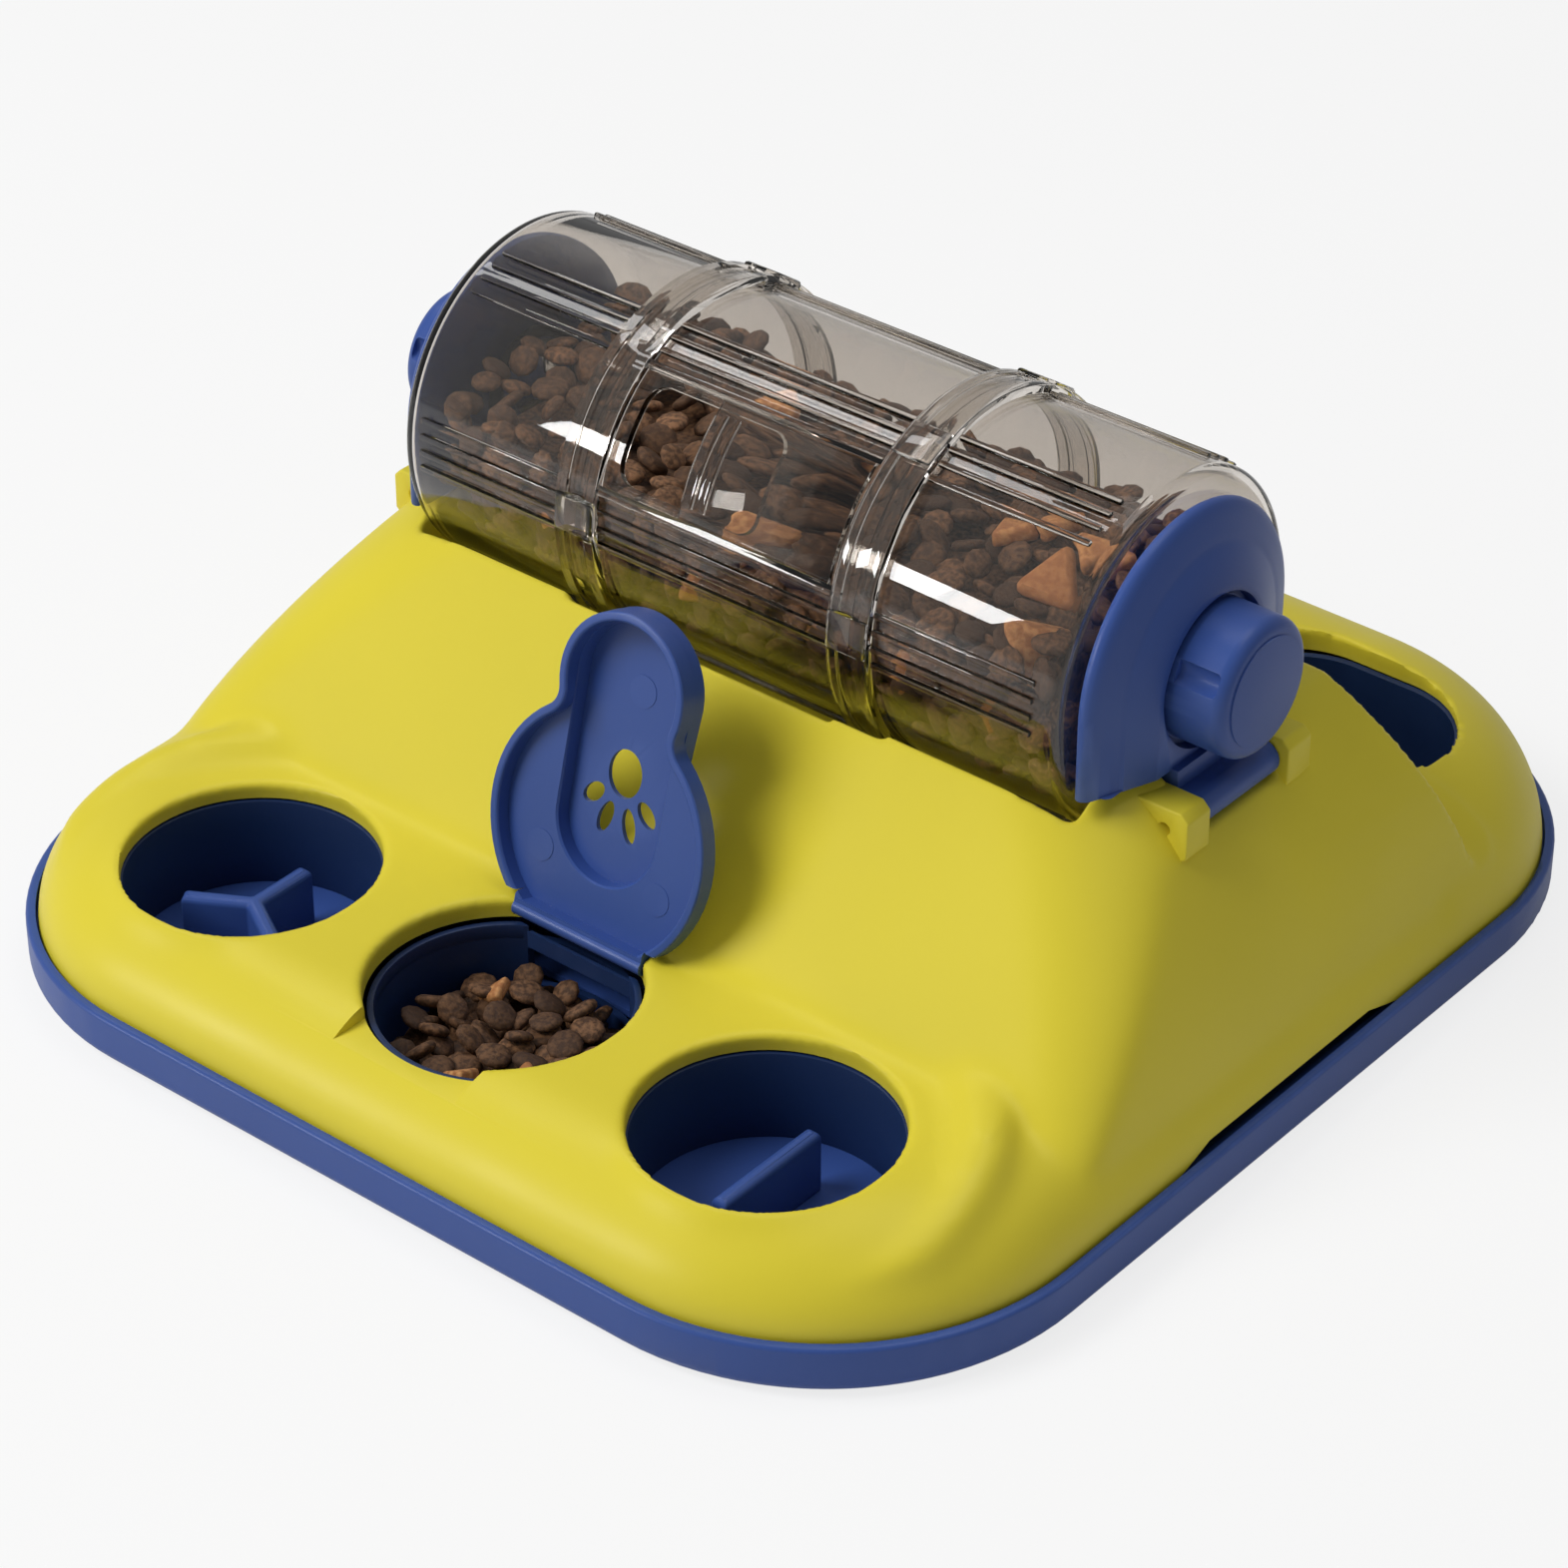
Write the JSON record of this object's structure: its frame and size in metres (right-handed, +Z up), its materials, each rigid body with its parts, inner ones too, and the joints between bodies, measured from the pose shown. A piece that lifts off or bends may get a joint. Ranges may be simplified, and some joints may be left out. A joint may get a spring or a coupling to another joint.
{
  "type": "dog puzzle feeder",
  "caption": "Tray of food cups under a domed cover that carries a clear turning food drum between hinged end brackets, with a flip-up lid over the middle cup",
  "frame": {"origin": "middle of the tray's outline, on the surface that the rubber feet stand on", "axes": "+X along the drum's axis, to the right seen from the front; -Y the front, with the three round cups; +Z up"},
  "size_m": [0.32, 0.336, 0.1615],
  "materials": {
    "blue_plastic": "satin moulded",
    "yellow_plastic": "satin moulded",
    "smoke_clear_plastic": "clear, lightly smoked, polished",
    "dry_food": "dull, porous",
    "steel_pin": null,
    "foot_rubber": null
  },
  "bodies": {
    "tray": {"base_tray": "blue_plastic", "cup_middle": "blue_plastic", "cup_front_left": "blue_plastic", "cup_front_right": "blue_plastic", "cup_rear_left": "blue_plastic", "cup_rear_right": "blue_plastic", "rubber_foot_1": "foot_rubber", "rubber_foot_2": "foot_rubber", "rubber_foot_3": "foot_rubber", "rubber_foot_4": "foot_rubber", "star_baffle": "blue_plastic", "fin_baffle": "blue_plastic", "feed_ramp": "blue_plastic", "well_food": "dry_food"},
    "cover": {"top_cover": "yellow_plastic", "lid_pin": "steel_pin", "bracket_pin_left": "steel_pin", "bracket_pin_right": "steel_pin", "drum_food": "dry_food"},
    "drum": {"drum_middle": "smoke_clear_plastic", "drum_end_left": "smoke_clear_plastic", "drum_end_right": "smoke_clear_plastic", "drum_band_left": "smoke_clear_plastic", "drum_band_right": "smoke_clear_plastic", "drum_hub_left": "smoke_clear_plastic", "drum_hub_right": "smoke_clear_plastic"},
    "door": {"feed_door": "smoke_clear_plastic"},
    "lid": {"well_lid": "blue_plastic"},
    "bracket_left": {"end_bracket_left": "blue_plastic"},
    "bracket_right": {"end_bracket_right": "blue_plastic"},
    "knob_left": {"lock_knob_left": "blue_plastic"},
    "knob_right": {"lock_knob_right": "blue_plastic"}
  },
  "joints": [
    {"name": "cover_lift", "type": "slide", "parent": "tray", "child": "cover", "axis": [0, 0, 1], "range_m": [0, 0.03]},
    {"name": "drum_spin", "type": "hinge", "parent": "cover", "child": "drum", "pos_m": [0, 0.014, 0.1116], "axis": [1, 0, 0], "continuous": true},
    {"name": "door_slide", "type": "slide", "parent": "drum", "child": "door", "axis": [1, 0, 0], "range_m": [-0.024, 0]},
    {"name": "lid_hinge", "type": "hinge", "parent": "cover", "child": "lid", "pos_m": [0, -0.0855, 0.034], "axis": [-1, 0, 0], "range_deg": [-106, 8]},
    {"name": "bracket_right_hinge", "type": "hinge", "parent": "cover", "child": "bracket_right", "pos_m": [0.123, 0.014, 0.0812], "axis": [0, 1, 0], "range_deg": [0, 60]},
    {"name": "bracket_left_hinge", "type": "hinge", "parent": "cover", "child": "bracket_left", "pos_m": [-0.123, 0.014, 0.0812], "axis": [0, -1, 0], "range_deg": [0, 60]},
    {"name": "knob_right_turn", "type": "hinge", "parent": "bracket_right", "child": "knob_right", "pos_m": [0.12, 0.014, 0.1116], "axis": [1, 0, 0], "range_deg": [0, 70]},
    {"name": "knob_left_turn", "type": "hinge", "parent": "bracket_left", "child": "knob_left", "pos_m": [-0.12, 0.014, 0.1116], "axis": [-1, 0, 0], "range_deg": [0, 70]}
  ]
}
